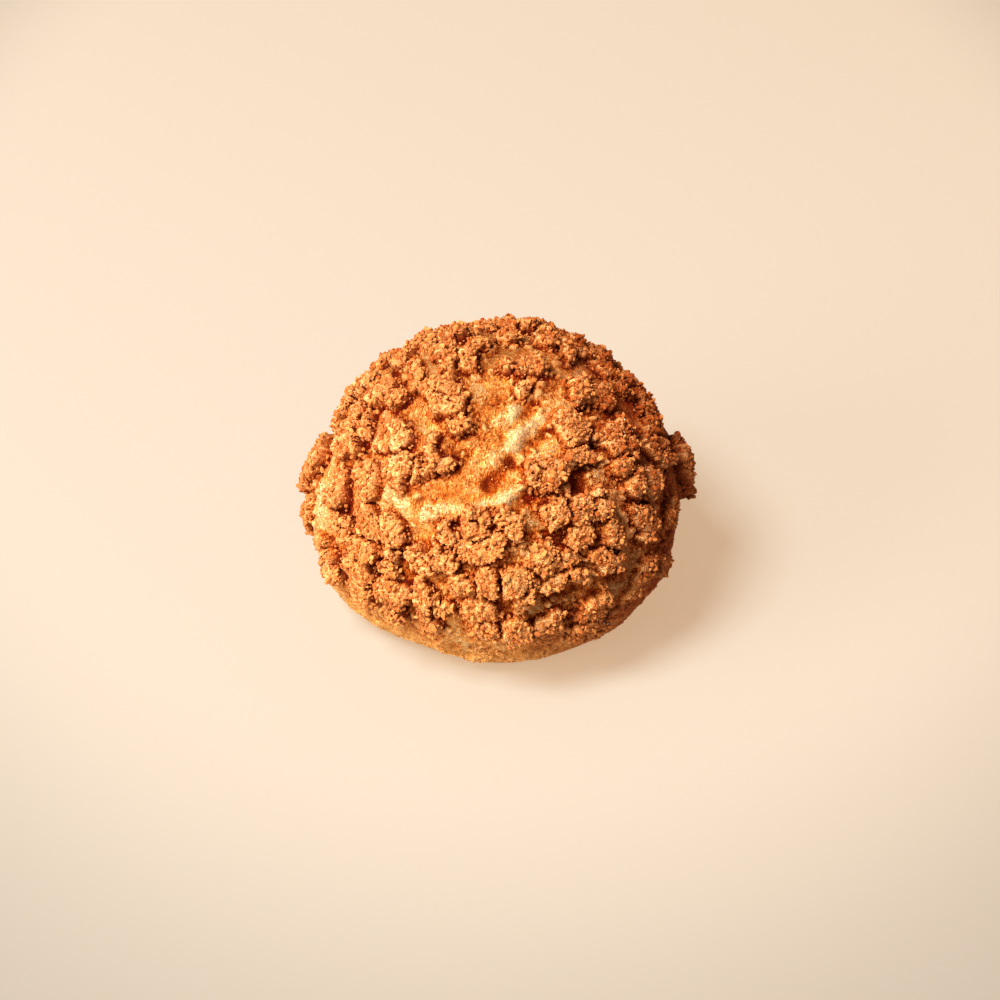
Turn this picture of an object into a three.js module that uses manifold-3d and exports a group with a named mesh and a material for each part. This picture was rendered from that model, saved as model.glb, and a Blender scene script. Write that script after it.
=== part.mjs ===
// A cream puff baked under a disc of cookie dough: a round, flat-bottomed choux shell whose crackled
// crust has broken into thick ragged clumps with bare skin between them. One solid, in millimetres,
// +Z up, standing on the plane z = 0 with the middle of its flat bottom at the origin. The front,
// which the clump list below describes, faces -Y.
import * as THREE from "three";
import { mergeVertices } from "three/addons/utils/BufferGeometryUtils.js";
import Module from "manifold-3d";

// Driving dimensions of the shell.
const SHELL_RADIUS = 36.8; // widest half-width of the shell, without its crust
const CROWN_HEIGHT = 34.8; // from the widest level up to the top of the shell
const BELLY_DEPTH = 25; // how far the belly would go below the widest level without the tray
const WIDEST_LEVEL = 19.0; // height of the widest level above the tray
const CROWN_POWER = 2.1; // 2 is an ellipse, and more is squarer
const BELLY_POWER = 2.3;
const FOOT_HEIGHT = 2.2; // the browned lip round the bottom edge
const FOOT_LIP = 0.5;

// Slow unevenness of the shell: [wavelength, height] pairs. It dies out towards the tray.
const LUMPS = [
  [26, 1.1],
  [11, 0.55],
];
const LUMPS_FROM = 2; // no unevenness below this height, and all of it above the next
const LUMPS_FULL = 9;

// Dents and bulges that the shell's outline shows: [tilt, bearing, reach, height].
// Tilt is the angle down from the top, and bearing the angle round the axis from the front, positive
// towards +X, both in degrees. Reach and height are in millimetres.
const SWELLS = [
  [93, 84, 10, -1.6],
  [48, 126, 14, -1.9],
  [66, -106, 6.5, -2.7],
  [52, -124, 11, -1.2],
  [80, -84, 13, 0.9],
  [106, -62, 12, 1.8],
  [106, -27, 13, -1.3],
  [108, 24, 11, -0.9],
];

// Furrows in the bare skin: [tilt, bearing, tilt, bearing, half width, depth] from end to end. A ridge
// has a depth below 0.
const FURROWS = [
  [30, 29, 37, 7, 1.7, 1.1],
  [37, 7, 44, -5, 1.7, 1.0],
  [20, 34, 25, 12, 1.5, 0.8],
  [31, 62, 40, 50, 2.0, 1.2],
  [40, 50, 49, 31, 2.0, 1.2],
  [60, 12, 63, 22, 1.8, 0.8],
  [72, -30, 80, -27, 2.0, 1.0],
  [80, 14, 80, 38, 1.8, 0.9],
  [44, 13, 49, 2, 1.5, -1.0],
  [49, 2, 53, -11, 1.7, -0.9],
  [53, -11, 56, -27, 1.8, -0.6],
  [20, 14, 34, 9, 1.6, -0.7],
];

// The clumps of crust on the front and the crown: [tilt, bearing, length, width, turn, lift]. Turn is
// the angle of the length from level, clockwise as seen from outside. Lift, where a clump has one, adds
// to its height.
const CLUMPS = [
  // the crown, behind the top
  [33, -172, 7.5, 6, 0], [34, 171, 5.5, 5, 0], [33, 159, 5, 5, 0], [31, 147, 6, 5, 0],
  [28, 133, 7, 5, 0], [33, 121, 6, 5, 0], [19, 131, 5, 3.5, 0], [23, 108, 4.5, 3.5, 0],
  [39, -157, 7, 5, 0], [37, -136, 7.5, 4, 0], [25, -143, 6, 4.5, 0], [27, -126, 6, 4, 0],
  [15, 168, 6, 4.5, 0], [10, -140, 5, 4, 0], [18, -113, 5, 4, 0], [10, -88, 5.5, 4.5, 0],
  [11, 76, 7, 5.5, 45], [5, 45, 4, 4, 0], [15, 30, 4.5, 3, 0],
  // upper left
  [22, -46, 9, 8, 20], [28.5, -25, 4.8, 3.8, 0], [15, -80, 4.5, 3.5, 0], [24, -76, 5, 3.5, 0],
  [35, -113, 6.5, 4.5, 0], [27, -95, 5.5, 4.5, 0], [44.5, -99, 6, 4.5, 0], [38, -81, 6, 5.5, 0],
  [34, -73, 5, 4, 0], [53, -97, 6, 5, 40], [48, -84, 5.5, 4.5, 0],
  [45.5, -71, 5.5, 4, 0], [54, -75, 6, 5.5, 45], [52, -67, 4, 3.5, 0], [40.5, -55, 7.5, 6, 0],
  [36, -36, 3.6, 3.2, 0], [41.5, -32, 5.5, 4.5, 70], [40.5, -23, 4.2, 3.4, 100],
  [48, -43, 6.2, 6, 0], [46, -36, 5, 3.4, 90], [56, -54, 7, 6.2, 20],
  // upper right
  [26.5, 74, 6, 5, 0], [34, 76, 6, 5, 0], [36, 101, 6.5, 6, 0], [39, 91, 5, 3.5, 100],
  [47, 106, 6, 4.5, 0], [52, 94, 9, 8, 0], [53, 82, 7, 5, 10], [33, 46, 8, 6.5, 70],
  [41.5, 38, 5.5, 4, 0], [43, 21, 8.5, 6, -5], [44, 59, 8, 5.5, 80], [44, 67, 4.5, 4, 0],
  [49, 53, 5, 4.5, 0], [58, 76, 8, 7, 80], [56, 54, 6, 4.5, 90], [60, 60, 6, 4, 90],
  [75.4, 91, 12.4, 6.5, 90, 0.9], [52, 39.5, 3.8, 3.2, 0],
  // lower left
  [69, -87, 8.5, 6.5, 65], [79, -90, 6.5, 6, 90], [85, -82, 8, 6.5, 90], [66, -65, 8, 5, 70],
  [66, -48, 7, 6, 30], [73, -57, 6, 6, 0], [65, -36.5, 7.5, 5, 50], [75, -46, 6, 5, 40],
  [85, -65, 6, 4, 0], [84, -48, 9, 5.5, 20], [77.5, -37, 6, 4.5, 30], [86, -34, 9, 6, 20],
  [90, -59, 7, 4.5, 30], [91, -46, 7, 5, 20], [93, -33, 6, 4.5, 0], [92.5, -21.5, 5, 4.5, 0],
  [71, -36, 5, 4.5, 0], [60.5, -17.5, 5.5, 4.5, 0], [66, -16.5, 6, 5.5, 80],
  [70.5, -24.5, 6, 5, 20], [56.5, -8, 5.5, 4, 0], [63, -6, 8.5, 5.5, 0], [75, -11.5, 6, 5, 50],
  [83, -22, 7, 5.5, 70], [86, -15.5, 4.5, 3.5, 0], [84, -5.5, 7.5, 6, -15],
  // lower right
  [73, -3, 6, 5.5, 0], [73, 4.5, 7.5, 5.5, -5], [56, 2, 6, 6, 0], [54.5, 20.5, 6, 5, 0],
  [55.5, 31, 6, 6, 0], [58, 38, 6, 5.5, 0], [63, 27, 7, 4, -10], [67, 38, 6.5, 4, 110],
  [73, 34, 6.5, 5.5, 20], [68, 52, 8.5, 6, 90], [66, 12.5, 7.5, 5, 90], [70.5, 21.5, 6, 4, 0],
  [75, 17, 5, 4.5, 0], [75, 23, 4.5, 4.5, 0], [77.5, 8.5, 7.5, 3.5, -45], [86, 46, 10, 4.5, 143],
  [86, 59, 6, 5, 0], [92, -2.5, 5.5, 6, 0], [92, 3.5, 8, 7.5, 0], [91.5, 14, 8, 7, 0],
  [95, 27.5, 9, 7.5, -15], [88, 29, 9, 4.5, -10], [75, 66, 6, 5, 0],
];

// The crust.
const CLUMP_RISE = 1.8; // least height of a clump above the skin, and what chance adds to it
const CLUMP_RISE_DRAW = 1.1;
const RISE_CHANGE = [6.5, 0.3]; // wavelength and share by which the height varies within a clump
const CLUMP_POWER = 2.6; // outline of a clump before it is torn: 2 is an ellipse
const EDGE_WIDTH = 0.6; // over which a clump's side rises to its full height
const CRACK_DEPTH = 0.5; // between two clumps that meet, as a share of their height
const CLUMP_MARGIN = 0.05; // by which every clump reaches past its listed size
const RAGGED = [
  [4.6, 1.5],
  [2.0, 0.85],
]; // [wavelength, shift] pairs that tear the clumps' edges
const CRUMB_SIZE = 2.4;
const CRUMB_HEIGHT = 0.3;
const FAR = 100; // stands for the distance to a clump that is nowhere near

// Clumps at the back, where the rule below puts them.
const BACK_TRIES = 1600;
const BACK_FROM = -0.03; // starts this far past the front's horizon, as a cosine
const BACK_SIZES = [4.4, 8.6];
const BACK_TILTS = [30, 98];
const BACK_BARE = [
  [67, -110, 9],
  [94, 90, 8],
  [58, 120, 7],
  [77, 109, 10],
]; // [tilt, bearing, reach] of spots that they keep off
const CLUMP_SPACING = 0.82; // of the mean of two clumps' sizes
const FRONT_ELEVATION = 40; // degrees: the front is what is seen from this height
const SEED = 20241;

const BALL_DETAIL = 25; // of the icosahedron that is shaped into the puff
const FRONT_SHARE = 0.1; // how much closer its corners are at the front than at the back
const FOLD_REACH = 0.95; // how far a corner moves to lie on the foot or brim of a clump
const FOLD_STEP = 0.25;
const CUTTER_SIZE = 200;

const DEGREE = Math.PI / 180;

function makeRandom(seed) {
  let state = seed >>> 0;
  return () => {
    state = (Math.imul(state, 1664525) + 1013904223) >>> 0;
    return state / 4294967296;
  };
}

// A number from -1 to 1 for each point of the whole-number lattice.
function latticeValue(x, y, z, layer) {
  let h = Math.imul(x, 374761393) ^ Math.imul(y, 668265263) ^ Math.imul(z, 1274126177);
  h = (h + Math.imul(layer, 1442695041)) | 0;
  h = Math.imul(h ^ (h >>> 15), 739982445);
  h = Math.imul(h ^ (h >>> 12), 695872825);
  h ^= h >>> 15;
  return (h >>> 0) / 2147483648 - 1;
}

// Smooth noise from -1 to 1, as wide as wavelength.
function noise(point, wavelength, layer) {
  const at = point.clone().divideScalar(wavelength);
  const low = at.clone().floor();
  const part = at.clone().sub(low);
  const ease = (t) => t * t * (3 - 2 * t);
  let sum = 0;
  for (let corner = 0; corner < 8; corner++) {
    const [i, j, k] = [corner & 1, (corner >> 1) & 1, corner >> 2];
    const weight =
      (i ? ease(part.x) : 1 - ease(part.x)) *
      (j ? ease(part.y) : 1 - ease(part.y)) *
      (k ? ease(part.z) : 1 - ease(part.z));
    sum += weight * latticeValue(low.x + i, low.y + j, low.z + k, layer);
  }
  return sum;
}

function smoothStep(low, high, value) {
  const t = Math.min(1, Math.max(0, (value - low) / (high - low)));
  return t * t * (3 - 2 * t);
}

const centre = new THREE.Vector3(0, 0, WIDEST_LEVEL);

function direction(tilt, bearing) {
  const [t, b] = [tilt * DEGREE, bearing * DEGREE];
  return new THREE.Vector3(Math.sin(t) * Math.sin(b), -Math.sin(t) * Math.cos(b), Math.cos(t));
}

// Distance from the centre to the even shell, without lumps or crust.
function evenRadius(dir) {
  const across = Math.hypot(dir.x, dir.y) / SHELL_RADIUS;
  const [up, power] =
    dir.z >= 0 ? [dir.z / CROWN_HEIGHT, CROWN_POWER] : [-dir.z / BELLY_DEPTH, BELLY_POWER];
  return (across ** power + up ** power) ** (-1 / power);
}

function evenPoint(dir) {
  return dir.clone().multiplyScalar(evenRadius(dir)).add(centre);
}

// A clump's centre on the even shell, with the directions of its length and width.
function placeClump([tilt, bearing, length, width, turn, lift = 0], rise) {
  const dir = direction(tilt, bearing);
  const level = direction(90, bearing + 90);
  const down = direction(tilt + 90, bearing);
  const [c, s] = [Math.cos(turn * DEGREE), Math.sin(turn * DEGREE)];
  const along = level.clone().multiplyScalar(c).addScaledVector(down, s);
  const across = level.clone().multiplyScalar(-s).addScaledVector(down, c);
  return { dir, at: evenPoint(dir), along, across, length, width, rise: rise + lift };
}

// The listed clumps, and then clumps thrown at the back, where each keeps its distance.
function makeClumps() {
  const random = makeRandom(SEED);
  const rise = () => CLUMP_RISE + CLUMP_RISE_DRAW * random();
  const clumps = CLUMPS.map((row) => placeClump(row, rise()));
  const view = direction(90 - FRONT_ELEVATION, 0);
  for (let i = 0; i < BACK_TRIES; i++) {
    const [lowTilt, highTilt] = BACK_TILTS.map((t) => Math.cos(t * DEGREE));
    const tilt = Math.acos(lowTilt + (highTilt - lowTilt) * random()) / DEGREE;
    const bearing = 360 * random() - 180;
    const length = BACK_SIZES[0] + (BACK_SIZES[1] - BACK_SIZES[0]) * random();
    const width = length * (0.65 + 0.3 * random());
    const turn = 180 * random();
    const clump = placeClump([tilt, bearing, length, width, turn], rise());
    if (clump.dir.dot(view) > -BACK_FROM) continue;
    if (BACK_BARE.some(([t, b, reach]) => evenPoint(direction(t, b)).distanceTo(clump.at) < reach)) {
      continue;
    }
    const size = (c) => (c.length + c.width) / 2;
    const clear = clumps.every(
      (c) => c.at.distanceTo(clump.at) > (CLUMP_SPACING * (size(c) + size(clump))) / 2,
    );
    if (clear) clumps.push(clump);
  }
  return clumps;
}

const clumps = makeClumps();

// Where a point of the even shell lies on the crust: how far inside its clump's edge, how far from
// the crack to the next clump, and how high the clump stands. Outside every clump, edge is negative.
function crustAt(point) {
  const torn = point.clone();
  RAGGED.forEach(([wavelength, shift], i) => {
    torn.x += shift * noise(point, wavelength, 10 + 3 * i);
    torn.y += shift * noise(point, wavelength, 11 + 3 * i);
    torn.z += shift * noise(point, wavelength, 12 + 3 * i);
  });
  let [edge, second, rise] = [-FAR, -FAR, 0];
  for (const c of clumps) {
    const away = torn.clone().sub(c.at);
    if (away.length() > Math.max(c.length, c.width)) continue;
    const [u, v] = [away.dot(c.along) / c.length, away.dot(c.across) / c.width].map(Math.abs);
    const reach = 2 * (u ** CLUMP_POWER + v ** CLUMP_POWER) ** (1 / CLUMP_POWER);
    const inside = ((1 - reach) * Math.min(c.length, c.width)) / 2 + CLUMP_MARGIN;
    if (inside > edge) [edge, second, rise] = [inside, edge, c.rise];
    else if (inside > second) second = inside;
  }
  return { edge, crack: (edge - second) / 2, rise };
}

function crustHeight(point) {
  const { edge, crack, rise } = crustAt(point);
  const side = smoothStep(0, EDGE_WIDTH, edge);
  const groove = CRACK_DEPTH * (1 - smoothStep(0, EDGE_WIDTH, crack));
  const full = rise * (1 + RISE_CHANGE[1] * noise(point, RISE_CHANGE[0], 21));
  return Math.min(side, 1 - groove) * (full + CRUMB_HEIGHT * noise(point, CRUMB_SIZE, 20));
}

function skinHeight(point) {
  const z = Math.max(0, point.z);
  let height = 0;
  LUMPS.forEach(([wavelength, size], i) => {
    height += size * smoothStep(LUMPS_FROM, LUMPS_FULL, z) * noise(point, wavelength, i + 1);
  });
  for (const [tilt, bearing, reach, size] of SWELLS) {
    const away = evenPoint(direction(tilt, bearing)).distanceTo(point) / reach;
    height += size * Math.exp(-away * away);
  }
  for (const [tilt0, bearing0, tilt1, bearing1, half, depth] of FURROWS) {
    const line = new THREE.Line3(
      evenPoint(direction(tilt0, bearing0)),
      evenPoint(direction(tilt1, bearing1)),
    );
    const away = line.closestPointToPoint(point, true, new THREE.Vector3()).distanceTo(point) / half;
    height -= depth * Math.exp(-away * away);
  }
  return height + FOOT_LIP * (1 - smoothStep(0, FOOT_HEIGHT, z));
}

function puffPoint(dir) {
  const point = evenPoint(dir);
  const height = skinHeight(point) + crustHeight(point);
  return dir.clone().multiplyScalar(evenRadius(dir) + height).add(centre);
}

// Shifts a direction sideways onto the foot or the brim of the clump side next to it, so that the
// mesh folds along both.
function foldDirection(dir) {
  const at = evenPoint(dir);
  const distance = (point) => {
    const { edge, crack } = crustAt(point);
    return Math.min(edge, crack);
  };
  const here = distance(at);
  const move = (here < EDGE_WIDTH / 2 ? 0 : EDGE_WIDTH) - here;
  if (Math.abs(move) > FOLD_REACH) return dir;
  const level = new THREE.Vector3(-dir.y, dir.x, 0).normalize();
  const down = new THREE.Vector3().crossVectors(dir, level);
  const slope = [level, down].map((way) => {
    const ahead = distance(at.clone().addScaledVector(way, FOLD_STEP));
    const behind = distance(at.clone().addScaledVector(way, -FOLD_STEP));
    return (ahead - behind) / (2 * FOLD_STEP);
  });
  const steep = Math.max(0.5, Math.hypot(...slope));
  at.addScaledVector(level, (move * slope[0]) / steep ** 2);
  at.addScaledVector(down, (move * slope[1]) / steep ** 2);
  return at.sub(centre).normalize();
}

const wasm = await Module();
wasm.setup();

function toSolid(geometry) {
  const bare = geometry.clone();
  bare.deleteAttribute("normal");
  bare.deleteAttribute("uv");
  const merged = mergeVertices(bare, 1e-4);
  return new wasm.Manifold(
    new wasm.Mesh({
      numProp: 3,
      vertProperties: new Float32Array(merged.attributes.position.array),
      triVerts: new Uint32Array(merged.index.array),
    }),
  );
}

function toGeometry(solid) {
  const mesh = solid.getMesh();
  return new THREE.BufferGeometry()
    .setAttribute("position", new THREE.BufferAttribute(mesh.vertProperties, 3))
    .setIndex(new THREE.BufferAttribute(mesh.triVerts, 1));
}

function makePuff() {
  const fine = new THREE.IcosahedronGeometry(1, BALL_DETAIL);
  fine.deleteAttribute("normal");
  fine.deleteAttribute("uv");
  const ball = mergeVertices(fine, 1e-4);
  const view = direction(90 - FRONT_ELEVATION, 0);
  const position = ball.attributes.position;
  const dir = new THREE.Vector3();
  for (let i = 0; i < position.count; i++) {
    dir.fromBufferAttribute(position, i).normalize().addScaledVector(view, FRONT_SHARE);
    const at = puffPoint(foldDirection(dir.normalize()));
    position.setXYZ(i, at.x, at.y, at.z);
  }
  const tray = new THREE.BoxGeometry(CUTTER_SIZE, CUTTER_SIZE, CUTTER_SIZE);
  tray.translate(0, 0, -CUTTER_SIZE / 2);
  const geometry = toGeometry(toSolid(ball).subtract(toSolid(tray)));
  geometry.computeVertexNormals();
  return geometry;
}

const crust = new THREE.MeshStandardMaterial({ color: 0xd28a4a, roughness: 0.75, metalness: 0 });
const puff = new THREE.Mesh(makePuff(), crust);
puff.name = "puff";

const group = new THREE.Group();
group.add(puff);

export default group;
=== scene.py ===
"""A cream puff under a crackled cookie crust, on a pale floor. The form is worked out in millimetres
with the CAD source's own sizes, and the finished meshes are in metres."""
import math

import bpy
import numpy as np
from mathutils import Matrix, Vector


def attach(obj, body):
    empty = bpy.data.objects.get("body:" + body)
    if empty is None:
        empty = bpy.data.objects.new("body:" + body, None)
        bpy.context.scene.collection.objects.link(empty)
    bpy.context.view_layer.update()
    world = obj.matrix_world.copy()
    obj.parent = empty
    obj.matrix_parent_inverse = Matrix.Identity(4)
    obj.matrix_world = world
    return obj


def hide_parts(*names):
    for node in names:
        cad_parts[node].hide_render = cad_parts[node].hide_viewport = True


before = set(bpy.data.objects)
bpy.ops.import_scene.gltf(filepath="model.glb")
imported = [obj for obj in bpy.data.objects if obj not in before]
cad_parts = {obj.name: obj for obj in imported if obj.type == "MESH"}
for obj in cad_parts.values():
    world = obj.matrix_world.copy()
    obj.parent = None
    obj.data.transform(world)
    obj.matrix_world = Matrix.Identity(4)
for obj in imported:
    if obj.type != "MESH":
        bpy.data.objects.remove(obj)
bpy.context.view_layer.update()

MM = 0.001

# ---------------------------------------------------------------- the form, as in the CAD source

SHELL_RADIUS = 36.8
CROWN_HEIGHT = 34.8
BELLY_DEPTH = 25.0
WIDEST_LEVEL = 19.0
CROWN_POWER = 2.1
BELLY_POWER = 2.3
FOOT_HEIGHT = 2.2
FOOT_LIP = 0.5

LUMPS = [(26, 1.1), (11, 0.55)]  # (wavelength, height)
LUMPS_FROM = 2
LUMPS_FULL = 9

# (tilt, bearing, reach, height): tilt is the angle down from the top, and bearing the angle round
# the axis from the front, positive towards +X, both in degrees.
SWELLS = [
    (93, 84, 10, -1.6),
    (48, 126, 14, -1.9),
    (66, -106, 6.5, -2.7),
    (52, -124, 11, -1.2),
    (80, -84, 13, 0.9),
    (106, -62, 12, 1.8),
    (106, -27, 13, -1.3),
    (108, 24, 11, -0.9),
]

# (tilt, bearing, tilt, bearing, half width, depth) from end to end; a ridge has a depth below 0
FURROWS = [
    (30, 29, 37, 7, 1.7, 1.1),
    (37, 7, 44, -5, 1.7, 1.0),
    (20, 34, 25, 12, 1.5, 0.8),
    (31, 62, 40, 50, 2.0, 1.2),
    (40, 50, 49, 31, 2.0, 1.2),
    (60, 12, 63, 22, 1.8, 0.8),
    (72, -30, 80, -27, 2.0, 1.0),
    (80, 14, 80, 38, 1.8, 0.9),
    (44, 13, 49, 2, 1.5, -1.0),
    (49, 2, 53, -11, 1.7, -0.9),
    (53, -11, 56, -27, 1.8, -0.6),
    (20, 14, 34, 9, 1.6, -0.7),
]

# (tilt, bearing, length, width, turn), and for some a lift, which adds to the height
CLUMPS = [
    # the crown, behind the top
    (33, -172, 7.5, 6, 0), (34, 171, 5.5, 5, 0), (33, 159, 5, 5, 0), (31, 147, 6, 5, 0),
    (28, 133, 7, 5, 0), (33, 121, 6, 5, 0), (19, 131, 5, 3.5, 0), (23, 108, 4.5, 3.5, 0),
    (39, -157, 7, 5, 0), (37, -136, 7.5, 4, 0), (25, -143, 6, 4.5, 0), (27, -126, 6, 4, 0),
    (15, 168, 6, 4.5, 0), (10, -140, 5, 4, 0), (18, -113, 5, 4, 0), (10, -88, 5.5, 4.5, 0),
    (11, 76, 7, 5.5, 45), (5, 45, 4, 4, 0), (15, 30, 4.5, 3, 0),
    # upper left
    (22, -46, 9, 8, 20), (28.5, -25, 4.8, 3.8, 0), (15, -80, 4.5, 3.5, 0), (24, -76, 5, 3.5, 0),
    (35, -113, 6.5, 4.5, 0), (27, -95, 5.5, 4.5, 0), (44.5, -99, 6, 4.5, 0), (38, -81, 6, 5.5, 0),
    (34, -73, 5, 4, 0), (53, -97, 6, 5, 40), (48, -84, 5.5, 4.5, 0),
    (45.5, -71, 5.5, 4, 0), (54, -75, 6, 5.5, 45), (52, -67, 4, 3.5, 0), (40.5, -55, 7.5, 6, 0),
    (36, -36, 3.6, 3.2, 0), (41.5, -32, 5.5, 4.5, 70), (40.5, -23, 4.2, 3.4, 100),
    (48, -43, 6.2, 6, 0), (46, -36, 5, 3.4, 90), (56, -54, 7, 6.2, 20),
    # upper right
    (26.5, 74, 6, 5, 0), (34, 76, 6, 5, 0), (36, 101, 6.5, 6, 0), (39, 91, 5, 3.5, 100),
    (47, 106, 6, 4.5, 0), (52, 94, 9, 8, 0), (53, 82, 7, 5, 10), (33, 46, 8, 6.5, 70),
    (41.5, 38, 5.5, 4, 0), (43, 21, 8.5, 6, -5), (44, 59, 8, 5.5, 80), (44, 67, 4.5, 4, 0),
    (49, 53, 5, 4.5, 0), (58, 76, 8, 7, 80), (56, 54, 6, 4.5, 90), (60, 60, 6, 4, 90),
    (75.4, 91, 12.4, 6.5, 90, 0.9), (52, 39.5, 3.8, 3.2, 0),
    # lower left
    (69, -87, 8.5, 6.5, 65), (79, -90, 6.5, 6, 90), (85, -82, 8, 6.5, 90), (66, -65, 8, 5, 70),
    (66, -48, 7, 6, 30), (73, -57, 6, 6, 0), (65, -36.5, 7.5, 5, 50), (75, -46, 6, 5, 40),
    (85, -65, 6, 4, 0), (84, -48, 9, 5.5, 20), (77.5, -37, 6, 4.5, 30), (86, -34, 9, 6, 20),
    (90, -59, 7, 4.5, 30), (91, -46, 7, 5, 20), (93, -33, 6, 4.5, 0), (92.5, -21.5, 5, 4.5, 0),
    (71, -36, 5, 4.5, 0), (60.5, -17.5, 5.5, 4.5, 0), (66, -16.5, 6, 5.5, 80),
    (70.5, -24.5, 6, 5, 20), (56.5, -8, 5.5, 4, 0), (63, -6, 8.5, 5.5, 0), (75, -11.5, 6, 5, 50),
    (83, -22, 7, 5.5, 70), (86, -15.5, 4.5, 3.5, 0), (84, -5.5, 7.5, 6, -15),
    # lower right
    (73, -3, 6, 5.5, 0), (73, 4.5, 7.5, 5.5, -5), (56, 2, 6, 6, 0), (54.5, 20.5, 6, 5, 0),
    (55.5, 31, 6, 6, 0), (58, 38, 6, 5.5, 0), (63, 27, 7, 4, -10), (67, 38, 6.5, 4, 110),
    (73, 34, 6.5, 5.5, 20), (68, 52, 8.5, 6, 90), (66, 12.5, 7.5, 5, 90), (70.5, 21.5, 6, 4, 0),
    (75, 17, 5, 4.5, 0), (75, 23, 4.5, 4.5, 0), (77.5, 8.5, 7.5, 3.5, -45), (86, 46, 10, 4.5, 143),
    (86, 59, 6, 5, 0), (92, -2.5, 5.5, 6, 0), (92, 3.5, 8, 7.5, 0), (91.5, 14, 8, 7, 0),
    (95, 27.5, 9, 7.5, -15), (88, 29, 9, 4.5, -10), (75, 66, 6, 5, 0),
]

CLUMP_RISE = 1.8
CLUMP_RISE_DRAW = 1.1
CLUMP_POWER = 2.6
EDGE_WIDTH = 0.6
CRACK_DEPTH = 0.5
CLUMP_MARGIN = 0.05
RAGGED = [(4.6, 1.5), (2.0, 0.85)]  # (wavelength, shift)
RISE_CHANGE = (6.5, 0.3)  # (wavelength, share of the rise)
CRUMB_SIZE = 2.4
CRUMB_HEIGHT = 0.3
FAR = 100.0

BACK_TRIES = 1600
BACK_FROM = -0.03  # starts this far past the front's horizon, as a cosine
BACK_SIZES = (4.4, 8.6)
BACK_SLIMMEST = 0.65  # least width, as a share of the length
BACK_SLIM_DRAW = 0.3
BACK_TILTS = (30, 98)
BACK_BARE = [(67, -110, 9), (94, 90, 8), (58, 120, 7), (77, 109, 10)]  # (tilt, bearing, reach)
CLUMP_SPACING = 0.82
FRONT_ELEVATION = 40
SEED = 20241

CENTRE = np.array([0, 0, WIDEST_LEVEL])


def make_random(seed):
    state = seed
    while True:
        state = (state * 1664525 + 1013904223) % 4294967296
        yield state / 4294967296


def lattice_value(x, y, z, layer):
    """A number from -1 to 1 for each point of the whole-number lattice. Each layer draws its own."""
    low = 0xFFFFFFFF
    x, y, z = (v.astype(np.int64) & low for v in (x, y, z))
    h = (x * 374761393 & low) ^ (y * (668265263 & low) & low) ^ (z * 1274126177 & low)
    h = (h + layer * 1442695041) & low
    h = (h ^ (h >> 15)) * 739982445 & low
    h = (h ^ (h >> 12)) * 695872825 & low
    return (h ^ (h >> 15)) / 2147483648 - 1


def noise(points, wavelength, layer):
    """Smooth noise from -1 to 1, whose bumps are as wide as wavelength."""
    at = points / wavelength
    low = np.floor(at)
    part = at - low
    part = part * part * (3 - 2 * part)
    total = 0
    for corner in range(8):
        bits = corner & 1, (corner >> 1) & 1, corner >> 2
        weight = 1
        for axis, bit in enumerate(bits):
            weight = weight * (part[:, axis] if bit else 1 - part[:, axis])
        total += weight * lattice_value(*(low[:, k] + bits[k] for k in range(3)), layer)
    return total


def smooth_step(low, high, value):
    t = np.clip((value - low) / (high - low), 0, 1)
    return t * t * (3 - 2 * t)


def direction(tilt, bearing):
    t, b = np.radians(tilt), np.radians(bearing)
    return np.array([np.sin(t) * np.sin(b), -np.sin(t) * np.cos(b), np.cos(t)])


def even_radius(dirs):
    """Distance from the centre to the even shell, without lumps or crust."""
    across = np.hypot(dirs[..., 0], dirs[..., 1]) / SHELL_RADIUS
    above = dirs[..., 2] >= 0
    up = np.where(above, dirs[..., 2] / CROWN_HEIGHT, -dirs[..., 2] / BELLY_DEPTH)
    power = np.where(above, CROWN_POWER, BELLY_POWER)
    return (across**power + up**power) ** (-1 / power)


def even_point(dirs):
    return dirs * even_radius(dirs)[..., None] + CENTRE


def unit(vectors):
    return vectors / np.linalg.norm(vectors, axis=-1, keepdims=True)


class Clump:
    def __init__(self, rise, tilt, bearing, length, width, turn, lift=0):
        self.dir = direction(tilt, bearing)
        self.at = even_point(self.dir)
        level, down = direction(90, bearing + 90), direction(tilt + 90, bearing)
        c, s = math.cos(math.radians(turn)), math.sin(math.radians(turn))
        self.along, self.across = level * c + down * s, down * c - level * s
        self.length, self.width, self.rise = length, width, rise + lift
        self.size = (length + width) / 2


def make_clumps():
    """The listed clumps, and then clumps thrown at the back, where each keeps its distance."""
    draw = make_random(SEED)

    def rise():
        return CLUMP_RISE + CLUMP_RISE_DRAW * next(draw)

    clumps = [Clump(rise(), *row) for row in CLUMPS]
    bare = [(even_point(direction(tilt, bearing)), reach) for tilt, bearing, reach in BACK_BARE]
    view = direction(90 - FRONT_ELEVATION, 0)
    low_tilt, high_tilt = (math.cos(math.radians(t)) for t in BACK_TILTS)
    for _ in range(BACK_TRIES):
        tilt = math.degrees(math.acos(low_tilt + (high_tilt - low_tilt) * next(draw)))
        bearing = 360 * next(draw) - 180
        length = BACK_SIZES[0] + (BACK_SIZES[1] - BACK_SIZES[0]) * next(draw)
        width = length * (BACK_SLIMMEST + BACK_SLIM_DRAW * next(draw))
        turn = 180 * next(draw)
        clump = Clump(rise(), tilt, bearing, length, width, turn)
        if clump.dir @ view > -BACK_FROM:
            continue
        if any(np.linalg.norm(spot - clump.at) < reach for spot, reach in bare):
            continue
        if all(
            np.linalg.norm(c.at - clump.at) > CLUMP_SPACING * (c.size + clump.size) / 2
            for c in clumps
        ):
            clumps.append(clump)
    return clumps


clumps = make_clumps()

FINE_RAGGED = [(1.0, 0.5)]  # tears the clumps' edges more finely than the CAD solid's
RAGGED_LAYER = 10


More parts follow.
